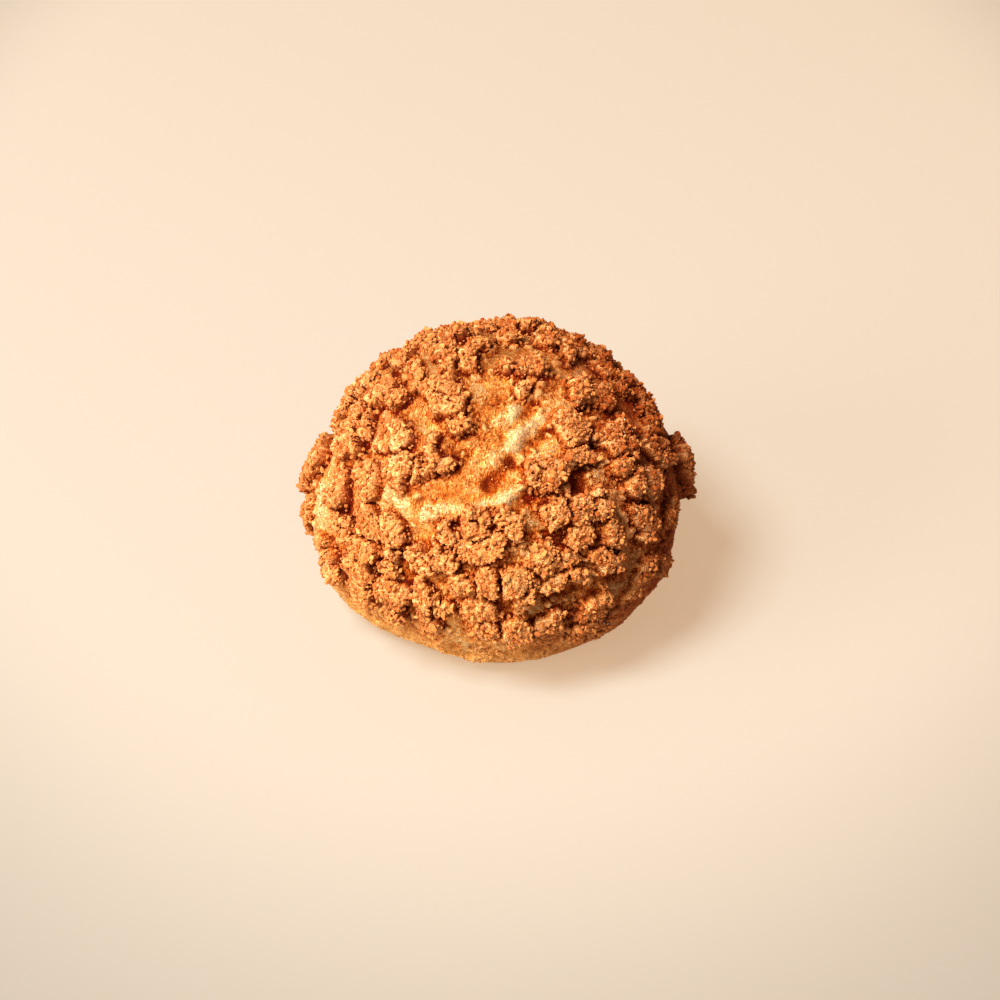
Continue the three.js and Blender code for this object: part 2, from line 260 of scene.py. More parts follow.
def crust_at(points):
    """Where points of the even shell lie on the crust: how far inside the clump's edge, how far
    from the crack to the next clump, and how high the clump stands."""
    torn = points.copy()
    for i, (wavelength, shift) in enumerate(RAGGED + FINE_RAGGED):
        for axis in range(3):
            torn[:, axis] += shift * noise(points, wavelength, RAGGED_LAYER + 3 * i + axis)
    edge = np.full(len(points), -FAR)
    second = edge.copy()
    rise = np.zeros(len(points))
    for c in clumps:
        away = torn - c.at
        near = np.flatnonzero((away**2).sum(1) <= max(c.length, c.width) ** 2)
        u = np.abs(away[near] @ c.along) / c.length
        v = np.abs(away[near] @ c.across) / c.width
        reach = 2 * (u**CLUMP_POWER + v**CLUMP_POWER) ** (1 / CLUMP_POWER)
        inside = (1 - reach) * min(c.length, c.width) / 2 + CLUMP_MARGIN
        best = inside > edge[near]
        second[near] = np.where(best, edge[near], np.maximum(second[near], inside))
        edge[near[best]] = inside[best]
        rise[near[best]] = c.rise
    return edge, (edge - second) / 2, rise


def side_distance(points):
    """How far inside its clump each point lies, from the clump's edge or the nearest crack."""
    edge, crack, _ = crust_at(points)
    return np.minimum(edge, crack)


def skin_height(points):
    z = np.maximum(0, points[:, 2])
    height = np.zeros(len(points))
    for i, (wavelength, size) in enumerate(LUMPS):
        lump = noise(points, wavelength, i + 1)
        height += size * smooth_step(LUMPS_FROM, LUMPS_FULL, z) * lump
    for tilt, bearing, reach, size in SWELLS:
        away = np.linalg.norm(points - even_point(direction(tilt, bearing)), axis=1) / reach
        height += size * np.exp(-(away**2))
    for tilt0, bearing0, tilt1, bearing1, half, depth in FURROWS:
        start, end = even_point(direction(tilt0, bearing0)), even_point(direction(tilt1, bearing1))
        line = end - start
        share = np.clip((points - start) @ line / (line @ line), 0, 1)[:, None]
        away = np.linalg.norm(points - start - share * line, axis=1) / half
        height -= depth * np.exp(-(away**2))
    return height + FOOT_LIP * (1 - smooth_step(0, FOOT_HEIGHT, z))


# ---------------------------------------------------------------- the mesh of the puff

BALL_DETAIL = 108
FRONT_SHARE = 0.24  # how far corners are drawn towards the photo's camera
FOLD_REACH = 0.22  # corners this close to a clump's side, in millimetres, move to its foot or brim
SLOPE_STEP = 0.1
LEAST_SLOPE = 0.5


def make_ball(detail):
    """Corners and faces of an icosahedron whose sides are cut into detail parts, on a unit ball."""
    g = (1 + 5**0.5) / 2
    corners = np.array([
        (-1, g, 0), (1, g, 0), (-1, -g, 0), (1, -g, 0), (0, -1, g), (0, 1, g),
        (0, -1, -g), (0, 1, -g), (g, 0, -1), (g, 0, 1), (-g, 0, -1), (-g, 0, 1),
    ])
    sides = [
        (0, 11, 5), (0, 5, 1), (0, 1, 7), (0, 7, 10), (0, 10, 11), (1, 5, 9), (5, 11, 4),
        (11, 10, 2), (10, 7, 6), (7, 1, 8), (3, 9, 4), (3, 4, 2), (3, 2, 6), (3, 6, 8),
        (3, 8, 9), (4, 9, 5), (2, 4, 11), (6, 2, 10), (8, 6, 7), (9, 8, 1),
    ]
    rows = [(i, j) for i in range(detail + 1) for j in range(detail + 1 - i)]
    place = {ij: k for k, ij in enumerate(rows)}
    ij = np.array(rows) / detail
    small = []
    for i, j in rows:
        if i + j < detail:
            small.append((place[i, j], place[i + 1, j], place[i, j + 1]))
        if i + j < detail - 1:
            small.append((place[i + 1, j], place[i + 1, j + 1], place[i, j + 1]))
    small = np.array(small)
    points = []
    faces = []
    for a, b, c in sides:
        grid = corners[a] + ij[:, :1] * (corners[b] - corners[a]) + ij[:, 1:] * (corners[c] - corners[a])
        faces.append(small + len(points) * len(rows))
        points.append(grid)
    points = unit(np.concatenate(points))
    faces = np.concatenate(faces)
    _, first, same = np.unique(np.round(points, 6), axis=0, return_index=True, return_inverse=True)
    return points[first], same.reshape(-1)[faces]


def side_ways(dirs):
    """Two directions along the surface at each of dirs: level, and down."""
    level = unit(np.stack([-dirs[:, 1], dirs[:, 0], np.full(len(dirs), 1e-9)], 1))
    return level, np.cross(dirs, level)


def edge_slope(at, ways):
    """How fast the way into the clump grows along each of ways."""
    step = SLOPE_STEP
    return [
        (side_distance(at + way * step) - side_distance(at - way * step)) / (2 * step)
        for way in ways
    ]


def front_heavy(dirs):
    """Directions spread evenly, drawn a little towards the photo's camera, which sees more of them."""
    return unit(dirs + FRONT_SHARE * direction(90 - FRONT_ELEVATION, 0))


def fold_directions(dirs):
    """Shifts directions sideways onto the foot or brim of the clump side next to them."""
    at = even_point(dirs)
    here = side_distance(at)
    move = np.where(here < EDGE_WIDTH / 2, 0, EDGE_WIDTH) - here
    near = np.flatnonzero(np.abs(move) < FOLD_REACH)
    ways = side_ways(dirs[near])
    slope = edge_slope(at[near], ways)
    steep = np.maximum(LEAST_SLOPE, np.hypot(*slope))
    for way, rate in zip(ways, slope):
        at[near] += way * (move[near] * rate / steep**2)[:, None]
    return unit(at - CENTRE)


CELL_JITTER = 0.42


def cells(points, size, layer):
    """Cellular noise: distance to the nearest and to the second nearest scattered seed, in seed
    spacings, and a draw from 0 to 1 for the nearest."""
    at = points / size
    low = np.floor(at)
    first = np.full(len(points), FAR)
    second = first.copy()
    value = np.zeros(len(points))
    for shift in np.ndindex(3, 3, 3):
        cell = low + np.array(shift) - 1
        shake = np.stack([lattice_value(*cell.T, layer + k) for k in range(3)], 1)
        seed = cell + 0.5 + CELL_JITTER * shake
        away = np.linalg.norm(at - seed, axis=1)
        nearer = away < first
        second = np.where(nearer, first, np.minimum(second, away))
        value = np.where(nearer, lattice_value(*cell.T, layer + 3) / 2 + 0.5, value)
        first = np.minimum(first, away)
    return first, second, value


def ridges(points, wavelength, layer):
    """Thin wandering ridges, 1 on a crest and falling to -1 between them."""
    return 1 - 4 * np.abs(noise(points, wavelength, layer))


def bend(points, wavelength, shift, layer):
    """Points shifted by smooth noise, so that what is drawn over them wanders."""
    return points + np.stack([shift * noise(points, wavelength, layer + k) for k in range(3)], 1)


# The relief that the solid leaves out, in millimetres. Wavelengths and spacings come first.
KNOB_WAVE = 3.0
KNOB_STEPS = 2.2
KNOB_STEP_HEIGHT = 0.4
GRIT_WAVE = 1.25
FINE_GRIT_WAVE = 0.75
CRACKLE_SPACING = 4.4
PIT_SPACING = 1.4
PIT_SHARE = 0.22
PIT_DEPTH = 0.55
DOME_REACH = 2.6  # how far inside its edge a clump has risen to its full height
DOME_HEIGHT = 0.4
DOME_SUNK = 0.6
DEEP_CRACK = 0.25  # what the narrowest part of a crack adds to its depth, as a share of the rise
BRIM_FLARE = 0.15

FILM_WAVE = 6.5
FILM_FINE_WAVE = 2.3
SKIRT_WAVE = 4.5
SKIRT_LEVELS = (0.8, 3, 11, 18)  # where the crust's film on the lower flank begins, fills and ends
SKIRT_SHARE = 0.9
BITS = [(1.7, 90), (2.9, 94)]  # (spacing, layer)
BIT_SHARE = 0.26
BIT_HEIGHT = 0.8
BIT_FROM_EDGE = (-3.6, -0.8)
FIBRE_HEIGHT = 0.07
SKIN_WAVE = 4.2
SKIN_WAVE_HEIGHT = 0.4
FOOT_SMOOTH = (0.8, 5)  # the levels between which the skin's relief grows to its full height
FOOT_RELIEF = 0.35


def crumbly(bent):
    """Knobs that rise in steps, grit and fine grit, as dough that broke up in the oven has."""
    layered = KNOB_STEPS * noise(bent, KNOB_WAVE, 40)
    knob = KNOB_STEP_HEIGHT * (np.floor(layered) + smooth_step(0.3, 0.7, layered % 1))
    return knob, ridges(bent, GRIT_WAVE, 50), ridges(bent, FINE_GRIT_WAVE, 51)


def holes_at(at, bent):
    """Pits and thin cracks in the tops of the clumps, from 0 to 1."""
    first, second, _ = cells(bent, CRACKLE_SPACING, 60)
    crackle = smooth_step(0.07, 0.01, second - first) * smooth_step(0, 0.3, noise(at, 3.6, 64))
    first, _, value = cells(bent, PIT_SPACING, 80)
    pit = smooth_step(0.36, 0.14, first) * (value > 1 - PIT_SHARE)
    return np.maximum(pit, crackle)


def skin_cover(at, bent, edge):
    """What the crust left on the skin, each from 0 to 1: film, its skirt on the flank, and bits."""
    film = smooth_step(-0.25, 0.45, noise(at, FILM_WAVE, 62) + 0.45 * noise(at, FILM_FINE_WAVE, 63))
    start, full, fading, end = SKIRT_LEVELS
    skirt = smooth_step(start, full, at[:, 2]) * (1 - smooth_step(fading, end, at[:, 2]))
    skirt *= smooth_step(-0.6, 0.1, noise(at, SKIRT_WAVE, 98))
    bits = 0
    for spacing, layer in BITS:
        first, _, value = cells(bent, spacing, layer)
        bits = np.maximum(bits, smooth_step(0.48, 0.26, first) * (value > 1 - BIT_SHARE))
    return np.maximum(film, SKIRT_SHARE * skirt), skirt, bits * smooth_step(*BIT_FROM_EDGE, edge)


def shape_puff(dirs):
    """The finished surface along dirs, in millimetres, with what the materials read from it."""
    at = even_point(dirs)
    edge, crack, rise = crust_at(at)
    side = smooth_step(0, EDGE_WIDTH, edge)
    narrow = smooth_step(0.4, 0.1, crack)
    groove = CRACK_DEPTH * (1 - smooth_step(0.1, EDGE_WIDTH, crack)) + DEEP_CRACK * narrow
    share = np.minimum(side, 1 - groove)
    top = smooth_step(0.1, 0.9, edge)
    rise = rise * (1 + RISE_CHANGE[1] * noise(at, RISE_CHANGE[0], 21))

    bent = bend(bend(at, 3.0, 0.9, 45), 1.1, 0.4, 48)
    knob, grit, fine_grit = crumbly(bent)
    holes = holes_at(at, bent)
    dome = smooth_step(0, DOME_REACH, edge) - DOME_SUNK
    crust = share * (rise + CRUMB_HEIGHT * noise(at, CRUMB_SIZE, 20) + DOME_HEIGHT * dome)
    crust += side * (0.4 * knob + 0.12 * grit + 0.06 * fine_grit)
    crust -= PIT_DEPTH * holes * top

    bare = 1 - side
    low = smooth_step(*FOOT_SMOOTH, at[:, 2])
    film, skirt, bits = skin_cover(at, bent, edge)
    fibre = ridges(bend(at, 2.2, 1.0, 64), 1.5, 67) + 0.7 * ridges(bend(at, 1.2, 0.6, 68), 0.85, 71)
    skin = FIBRE_HEIGHT * fibre + SKIN_WAVE_HEIGHT * noise(at, SKIN_WAVE, 75)
    skin += film * ((0.26 + 0.5 * skirt) * knob + (0.13 + 0.1 * skirt) * grit + 0.07 * fine_grit)
    skin += bits * (BIT_HEIGHT + 0.3 * knob)
    skin *= bare * (FOOT_RELIEF + (1 - FOOT_RELIEF) * low)

    base = skin_height(at)
    height = base + crust + skin
    surface = dirs * (even_radius(dirs) + height)[:, None] + CENTRE

    ways = side_ways(dirs)
    flare = BRIM_FLARE * smooth_step(0.3, 1.0, share) * (1 - smooth_step(0.3, 1.4, edge))
    flare *= edge > 0
    for way, rate in zip(ways, edge_slope(at, ways)):
        surface -= way * (flare * np.clip(rate, -1.2, 1.2))[:, None]
    return surface, dict(
        island=np.maximum(side, np.maximum(bits * low, 0.75 * skirt)),
        # pits, and cracks beside the clumps, which the colour darkens with painted shade
        pit=np.maximum(holes * top, smooth_step(0.5, 0.1, crack) * side),
        film=film * bare,
        edge=edge,
        crack=crack,
        height=height,
        base=base,
    )


def neighbour_mean(values, faces, rounds):
    """values averaged over the mesh, rounds times over."""
    edges = np.concatenate([faces[:, [0, 1]], faces[:, [1, 2]], faces[:, [2, 0]]])
    count = np.bincount(edges[:, 0], minlength=len(values)) + 1.0
    for _ in range(rounds):
        total = np.bincount(edges[:, 0], weights=values[edges[:, 1]], minlength=len(values))
        values = (total + values) / count
    return values


def cut_flat(points, faces):
    """Which corners are left without the faces that lie wholly below the floor, and those faces."""
    below = points[:, 2] <= 0
    keep = ~below[faces].all(1)
    faces = faces[keep]
    used = np.unique(faces)
    new = np.full(len(points), -1)
    new[used] = np.arange(len(used))
    return used, new[faces]


def rim_loop(faces):
    """The corners round the hole of an open mesh, in order."""
    edges = np.concatenate([faces[:, [0, 1]], faces[:, [1, 2]], faces[:, [2, 0]]])
    there = set(map(tuple, edges))
    following = {b: a for a, b in there if (b, a) not in there}
    start = next(iter(following))
    loop = [start]
    while following[loop[-1]] != start:
        loop.append(following[loop[-1]])
    return loop


def make_object(name, points, faces, material, smooth):
    mesh = bpy.data.meshes.new(name)
    mesh.from_pydata((points * MM).tolist(), [], [list(map(int, f)) for f in faces])
    mesh.materials.append(material)
    mesh.polygons.foreach_set("use_smooth", [smooth] * len(mesh.polygons))
    mesh.update()
    piece = bpy.data.objects.new(name, mesh)
    bpy.context.scene.collection.objects.link(piece)
    return piece


MAP_REACH = 0.48


def unfold(dirs, faces):
    """For each corner of each face of a ball, a place from 0 to 1 on a square, on which the upper half
    is a diamond and the lower half is folded out to the four corners."""
    corners = dirs[faces]
    flat = corners / np.abs(corners).sum(-1, keepdims=True)
    sign = np.where(corners.mean(1)[:, None, :2] < 0, -1, 1)
    folded = (1 - flat[..., [1, 0]] * sign[..., ::-1]) * sign
    return 0.5 + MAP_REACH * np.where(flat[..., 2:] < 0, folded, flat[..., :2])


def add_map(piece, places):
    layer = piece.data.uv_layers.new(name="OFBake")
    layer.uv.foreach_set("vector", places.astype(np.float32).ravel())


def add_value(piece, name, values):
    layer = piece.data.attributes.new(name, "FLOAT", "POINT")
    layer.data.foreach_set("value", np.asarray(values, np.float32))


# ---------------------------------------------------------------- materials


class Graph:
    """Builds a material's nodes."""

    def __init__(self, name):
        self.material = bpy.data.materials.new(name)
        self.material.use_nodes = True
        self.tree = self.material.node_tree
        self.shader = self.tree.nodes["Principled BSDF"]

    def set(self, socket, value):
        if isinstance(value, bpy.types.NodeSocket):
            self.tree.links.new(value, socket)
        else:
            socket.default_value = value

    def vector(self, operation, *values):
        made = self.tree.nodes.new("ShaderNodeVectorMath")
        made.operation = operation
        for socket, value in zip(made.inputs, values):
            self.set(socket, value)
        return made.outputs

    def math(self, operation, *values):
        made = self.tree.nodes.new("ShaderNodeMath")
        made.operation = operation
        for socket, value in zip(made.inputs, values):
            self.set(socket, value)
        return made.outputs[0]

    def mix(self, share, first, second, blend="MIX"):
        made = self.tree.nodes.new("ShaderNodeMix")
        made.data_type, made.blend_type = "RGBA", blend
        for index, value in ((0, share), (6, first), (7, second)):
            self.set(made.inputs[index], value)
        return made.outputs[2]

    def add(self, *parts):
        total = parts[0]
        for part in parts[1:]:
            total = self.math("ADD", total, part)
        return total

    def scaled(self, value, share):
        return self.math("MULTIPLY", value, share)

    def around(self, value, middle, share):
        """A value's distance from its middle, scaled."""
        return self.scaled(self.math("SUBTRACT", value, middle), share)

    def between(self, share, first, second):
        return self.add(first, self.scaled(self.math("SUBTRACT", second, first), share))

    def value(self, name):
        made = self.tree.nodes.new("ShaderNodeAttribute")
        made.attribute_name = name
        return made.outputs["Fac"]

    def noise_node(self, vector, **settings):
        made = self.tree.nodes.new("ShaderNodeTexNoise")
        self.set(made.inputs["Vector"], vector)
        for name, value in settings.items():
            self.set(made.inputs[name.capitalize()], value)
        return made.outputs

    def noise(self, scale, detail=3, roughness=0.6, distortion=0.0):
        return self.noise_node(
            self.place(), scale=scale, detail=detail, roughness=roughness, distortion=distortion
        )["Fac"]

    def ridges(self, scale, detail=2, distortion=0.0):
        """Thin wandering ridges, 1 on a crest and 0 between them."""
        return self.crests(self.noise(scale, detail, 0.6, distortion), 0.16)

    def crests(self, noise, reach):
        """1 where the noise crosses its middle, and 0 where it is reach away from it."""
        away = self.math("ABSOLUTE", self.math("SUBTRACT", noise, 0.5))
        return self.span(away, reach, 0.0)

    def place(self):
        if not hasattr(self, "coordinates"):
            self.coordinates = self.tree.nodes.new("ShaderNodeTexCoord")
        return self.coordinates.outputs["Object"]

    def ramp(self, value, stops):
        made = self.tree.nodes.new("ShaderNodeValToRGB")
        self.set(made.inputs[0], value)
        elements = made.color_ramp.elements
        while len(elements) < len(stops):
            elements.new(0.5)
        for element, (position, colour) in zip(elements, stops):
            element.position = position
            element.color = linear(*colour)
        return made.outputs[0]

    def span(self, value, low, high, to_low=0.0, to_high=1.0):
        made = self.tree.nodes.new("ShaderNodeMapRange")
        made.interpolation_type = "SMOOTHSTEP"
        for socket, number in zip(made.inputs, (value, low, high, to_low, to_high)):
            self.set(socket, number)
        return made.outputs[0]

    def finish(self, colour, roughness, specular=None, glow=None):
        self.set(self.shader.inputs["Base Color"], colour)
        self.set(self.shader.inputs["Roughness"], roughness)
        if specular is not None:
            self.shader.inputs["Specular IOR Level"].default_value = specular
        if glow is not None:
            self.set(self.shader.inputs["Emission Color"], glow)
            self.shader.inputs["Emission Strength"].default_value = 1.0

    def bump(self, height, distance, strength=1.0):
        made = self.tree.nodes.new("ShaderNodeBump")
        made.inputs["Strength"].default_value = strength
        made.inputs["Distance"].default_value = distance * MM
        self.set(made.inputs["Height"], height)
        self.set(self.shader.inputs["Normal"], made.outputs["Normal"])


def linear(red, green, blue):
    """A colour given as it looks on the screen, from 0 to 255, for a shader."""
    return tuple(
        (v / 12.92 if v <= 0.04045 else ((v + 0.055) / 1.055) ** 2.4)
        for v in (red / 255, green / 255, blue / 255)
    ) + (1.0,)


# (place on the ramp, colour), from the deepest browning to the palest
CRUST_COLOURS = [
    (0.0, (88, 22, 2)), (0.2, (158, 76, 22)), (0.45, (206, 130, 68)),
    (0.7, (225, 163, 101)), (1.0, (248, 204, 150)),
]
SKIN_COLOURS = [
    (0.0, (132, 38, 0)), (0.24, (192, 90, 18)), (0.5, (236, 149, 68)),
    (0.75, (253, 189, 113)), (1.0, (255, 218, 163)),
]
# what the browning and the painted shade of the side away from the key lamp multiply the colour by
BROWNED_AND_SHADED = linear(190, 126, 74)
BROWNED_AND_SHADED_CRUMB = linear(190, 143, 97)

RIM_COLOUR = linear(255, 190, 108)
RIM_SHARE = 0.68
SOLE_COLOUR = linear(176, 86, 28)
CRUST_LEVEL = 0.52  # places on the two ramps, before relief and grain shift them
SKIN_LEVEL = 0.56
CRUST_BUMP = 0.55  # millimetres
CRUMB_BUMP = 0.25

WANDER_SCALE = 330
WANDER_SHIFT = (4.4, 4.4, 4.4)
HAIRS_ROUND = 1.7  # to a millimetre round the puff, and down its side
HAIRS_DOWN = 0.8


def skin_hair(g):
    """Fine fibres that run down the skin and wander, 1 along each and 0 between them."""
    wander = g.noise_node(g.place(), scale=WANDER_SCALE)["Color"]
    run = g.tree.nodes.new("ShaderNodeCombineXYZ")
    g.set(run.inputs[0], g.scaled(g.value("round"), HAIRS_ROUND))
    g.set(run.inputs[1], g.scaled(g.value("down"), HAIRS_DOWN))
    bent = g.vector("MULTIPLY_ADD", wander, WANDER_SHIFT, run.outputs[0])[0]
    hair = g.noise_node(bent, scale=1.0, detail=3, roughness=0.6, distortion=0.0)["Fac"]
    return g.crests(hair, 0.14)


def crust_material():
    g = Graph("baked_crust")
    island, painted_relief_shading, pit, painted_swell_shading = (g.value(name) for name in ("island", "painted_relief_shading", "pit", "painted_swell_shading"))
    rim, tone, browning_and_shade = (g.value(name) for name in ("rim", "tone", "browning_and_shade"))
    broad = g.noise(130, 2)
    fine = g.noise(900, 3, 0.7, 0.8)
    crest = g.ridges(900, 1, 1.2)
    speck = g.noise(2500, 2, 0.6, 1.0)
    hair = skin_hair(g)

    grain = g.add(g.around(fine, 0.5, 0.5), g.around(crest, 0.45, 0.24), g.around(speck, 0.5, 0.6))
    # painted shade darkens the relief's hollows and painted light lightens its crests, on both ramps
    crust_level = g.add(
        # pits and cracks darkened with painted shade
        g.scaled(painted_relief_shading, 1.1), grain, g.around(tone, 0.5, 0.24), g.scaled(pit, -0.35),
        g.scaled(rim, 0.22), CRUST_LEVEL,
    )
    # painted shade in the skin's valleys and painted light on its ridges, where the fibres also show
    # more
    streaks = g.scaled(g.around(hair, 0.45, 0.6), g.span(painted_swell_shading, -0.15, 0.25, 0.4, 1.0))
    skin_level = g.add(
        # painted shade on the skin beside the clumps' feet
        SKIN_LEVEL, g.scaled(g.value("foot"), -0.32), g.scaled(rim, 0.3), g.scaled(painted_relief_shading, 0.9),
        painted_swell_shading, g.around(broad, 0.5, 1.7), streaks, g.around(speck, 0.5, 0.5),
    )
    colour = g.mix(island, g.ramp(skin_level, SKIN_COLOURS), g.ramp(crust_level, CRUST_COLOURS))
    colour = g.mix(g.scaled(rim, RIM_SHARE), colour, RIM_COLOUR)
    colour = g.mix(g.value("sole"), colour, SOLE_COLOUR)
    # browning, and painted shade on the side away from the key lamp
    colour = g.mix(browning_and_shade, colour, BROWNED_AND_SHADED, "MULTIPLY")
    g.finish(colour, g.span(fine, 0.3, 0.7, 0.6, 0.8), specular=0.12)

    crust_relief = g.add(g.scaled(fine, 0.6), g.scaled(crest, 0.35), g.scaled(speck, 0.35))
    skin_relief = g.add(g.scaled(hair, 0.8), g.scaled(speck, 0.35))
    g.bump(g.between(island, skin_relief, crust_relief), CRUST_BUMP)
    return g.material


def crumb_material(name):
    g = Graph(name)
    fine = g.noise(1500, 3, 0.65, 0.5)
    level = g.add(g.value("tone"), g.around(fine, 0.5, 0.32))
    # browning, and painted shade on the side away from the key lamp
    colour = g.mix(g.value("browning_and_shade"), g.ramp(level, CRUST_COLOURS), BROWNED_AND_SHADED_CRUMB, "MULTIPLY")
    g.finish(colour, g.span(fine, 0.3, 0.7, 0.6, 0.8), specular=0.15)
    g.bump(fine, CRUMB_BUMP, 0.8)
    return g.material


FLOOR_FADE = (0.13, 0.205)  # where the painted pool of light on the floor begins to darken away from its bright middle, and ends
FLOOR_MIDDLE = 0.135  # how far behind the puff that middle lies
FLOOR_STRETCH = 0.7
FLOOR_DARKEST = (0.72, 0.72, 0.72, 1)
FLOOR_COLOURS = (0.166, 0.193, 0.198, 1), (0.173, 0.201, 0.206, 1)
FLOOR_PAINTED_BOUNCE = (0.62, 0.425, 0.273, 1)


def floor_material():
    """Paper with a painted glow that lightens its own shadows a little, standing in for the bounce of a
    pale studio, under a painted pool of light that is brightest in the middle and darker towards the
    edges.
    """
    g = Graph("paper_floor")
    stretch = (1.0, FLOOR_STRETCH, 0.0)
    middle = (0.0, -FLOOR_STRETCH * FLOOR_MIDDLE, 0.0)
    from_middle = g.vector("MULTIPLY_ADD", g.place(), stretch, middle)[0]
    edge = g.span(g.vector("LENGTH", from_middle)["Value"], *FLOOR_FADE)
    colour = g.mix(g.noise(600, 3), *FLOOR_COLOURS)
    g.finish(
        g.mix(edge, colour, FLOOR_DARKEST, "MULTIPLY"), 0.9, specular=0.1,
        glow=g.mix(edge, FLOOR_PAINTED_BOUNCE, FLOOR_DARKEST, "MULTIPLY"),
    )
    return g.material


# ---------------------------------------------------------------- the pieces


# the right side, browned and turned from the key lamp, so darkened also with painted shade
HOT_AND_SHADED_SIDE = unit(np.array([0.93, 0.1, -0.1]))
CROWN_BACK = unit(np.array([0.25, 0.75, 0.65]))
HOT_AND_SHADED_SHARE = 0.95  # how much each cause adds to the darkening, which is browning and painted shade
CROWN_SHARE = 0.3
SHADED_FACING_SHARE = 0.6
BAKE_CHANGE = 0.15


def browned_and_shaded(dirs, points, normals):
    """How much darker the colour is made, from 0 to 1: the hot side on the right is browned and carries
    painted shade, as it turns from the key lamp; the back of the crown is browned; and slopes facing the
    right carry painted shade.
    """
    hot = smooth_step(-0.1, 0.9, dirs @ HOT_AND_SHADED_SIDE)
    crown = smooth_step(0.1, 0.9, dirs @ CROWN_BACK)
    # slopes that face away from the key lamp, darkened as painted shade
    shaded_facing = (normals - dirs) @ HOT_AND_SHADED_SIDE
    change = BAKE_CHANGE * noise(points, 12, 72)
    return np.clip(HOT_AND_SHADED_SHARE * hot + CROWN_SHARE * crown + SHADED_FACING_SHARE * shaded_facing + change, 0, 1)


def corner_normals(points, faces):
    a, b, c = (points[faces[:, k]] for k in range(3))
    across = np.cross(b - a, c - a)
    total = np.zeros_like(points)
    for k in range(3):
        for axis in range(3):
            total[:, axis] += np.bincount(faces[:, k], across[:, axis], len(points))
    return unit(total)


RIM_LEVELS = (3, 14)  # millimetres above the floor, between which the paler flank fades out
SOLE_LEVELS = (0.2, 1.3)


def looks_of(surface, dirs, faces, facts):
    """What the crust's material reads at each corner."""
    height, base, z = facts["height"], facts["base"], surface[:, 2]
    near, wide = (neighbour_mean(height, faces, rounds) for rounds in (3, 26))
    # painted shade in the skin's broad valleys and painted light on its ridges
    painted_swell_shading = np.clip(base - neighbour_mean(base, faces, 60), -0.3, 0.35)
    soft = np.stack([neighbour_mean(surface[:, axis], faces, 5) for axis in range(3)], 1)
    bearing = np.abs(np.arctan2(dirs[:, 0], -dirs[:, 1]))
    return {
        "island": facts["island"],
        "pit": facts["pit"],
        # painted shade on the skin close to each clump's foot
        "foot": smooth_step(-1.2, 0, facts["edge"]),
        # painted shade in the relief's hollows and painted light on its crests
        "painted_relief_shading": np.clip(1.2 * (height - near) + 0.25 * (height - wide), -0.5, 0.18),
        "painted_swell_shading": painted_swell_shading + 0.12 * noise(surface, 11, 2),
        "rim": 1 - smooth_step(*RIM_LEVELS, z + 2.5 * noise(surface, 7, 70)),
        "sole": 1 - smooth_step(*SOLE_LEVELS, z + 0.5 * noise(surface, 5, 73)),
        "tone": 0.5 + 0.5 * noise(surface, 9, 71),
        "browning_and_shade": browned_and_shaded(dirs, surface, corner_normals(soft, faces)),
        "down": SHELL_RADIUS * np.arccos(dirs[:, 2]),
        "round": bearing * np.hypot(surface[:, 0], surface[:, 1]),
    }


def make_puff():
    dirs, faces = make_ball(BALL_DETAIL)
    dirs = fold_directions(front_heavy(dirs))
    surface, facts = shape_puff(dirs)
    used, faces = cut_flat(surface, faces)
    dirs, surface = dirs[used], surface[used]
    surface[:, 2] = np.maximum(surface[:, 2], 0)
    looks = looks_of(surface, dirs, faces, {key: value[used] for key, value in facts.items()})

    loop = rim_loop(faces)
    middle = len(surface)
    surface = np.vstack([surface, [0, 0, 0]])
    cap = [(loop[i], loop[(i + 1) % len(loop)], middle) for i in range(len(loop))]
    faces = np.vstack([faces, cap])
    piece = make_object("puff_body", surface, faces, crust_material(), smooth=True)
    add_map(piece, unfold(np.vstack([dirs, [0, 0, -1]]), faces))
    for name, values in looks.items():
        add_value(piece, name, np.append(values, 0))
    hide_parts("puff")
    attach(piece, "root")


MOST_FACES = 198000
CRUMB_STRETCH = 0.9  # most that a crumb is longer than wide, as a share
CRUMB_JITTER = 0.75


def make_crumbs(name, random, crumb, spots, half, material):
    """One piece of angular crumbs of the given half sizes, each in its own size and turn. crumb is
    the corners and faces of one of them, before it is stretched."""
    ball, sides = crumb
    count = len(spots)
    jitter = 1 + CRUMB_JITTER * (random.random((count, len(ball), 1)) - 0.5)
    turn = unit(random.normal(size=(count, 2, 3)))
    x = turn[:, 0]
    z = unit(np.cross(x, turn[:, 1]))
    axes = np.stack([x, np.cross(z, x), z], 1)
    long = 1 + CRUMB_STRETCH * random.random((count, 1, 1)) * np.array([1, 0, 0])
    shape = np.einsum("nvk,nkj->nvj", ball * long, axes) * jitter * half[:, None, None]
    points = shape + spots[:, None, :]
    faces = sides[None] + len(ball) * np.arange(count)[:, None, None]
    piece = make_object(
        name, points.reshape(-1, 3), faces.reshape(-1, 3), material, smooth=False
    )
    across = math.ceil(math.sqrt(count))
    cell = np.stack([np.arange(count) % across, np.arange(count) // across], 1)[:, None, None]
    add_map(piece, (cell + unfold(ball, sides)[None]) / across)
    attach(piece, "root")
    return piece


SLOPE_TURN = 0.006


def surface_and_slope(dirs):
    """The finished surface, with its facts and its outward normals."""
    surface, facts = shape_puff(dirs)
    level, down = side_ways(dirs)
    ahead = shape_puff(unit(dirs + SLOPE_TURN * level))[0] - surface
    below = shape_puff(unit(dirs + SLOPE_TURN * down))[0] - surface
    return surface, facts, unit(np.cross(below, ahead))


EDGE_BAND = (-0.1, 1.2)  # millimetres inside a clump's edge, where its side is
SKIN_CRUMB_SIZE = 0.6
CRUMB_TONE = 0.56
CRUMB_TONE_SPREAD = 0.035
EDGE_SHADE = 0.13
RIM_TINT = 0.2


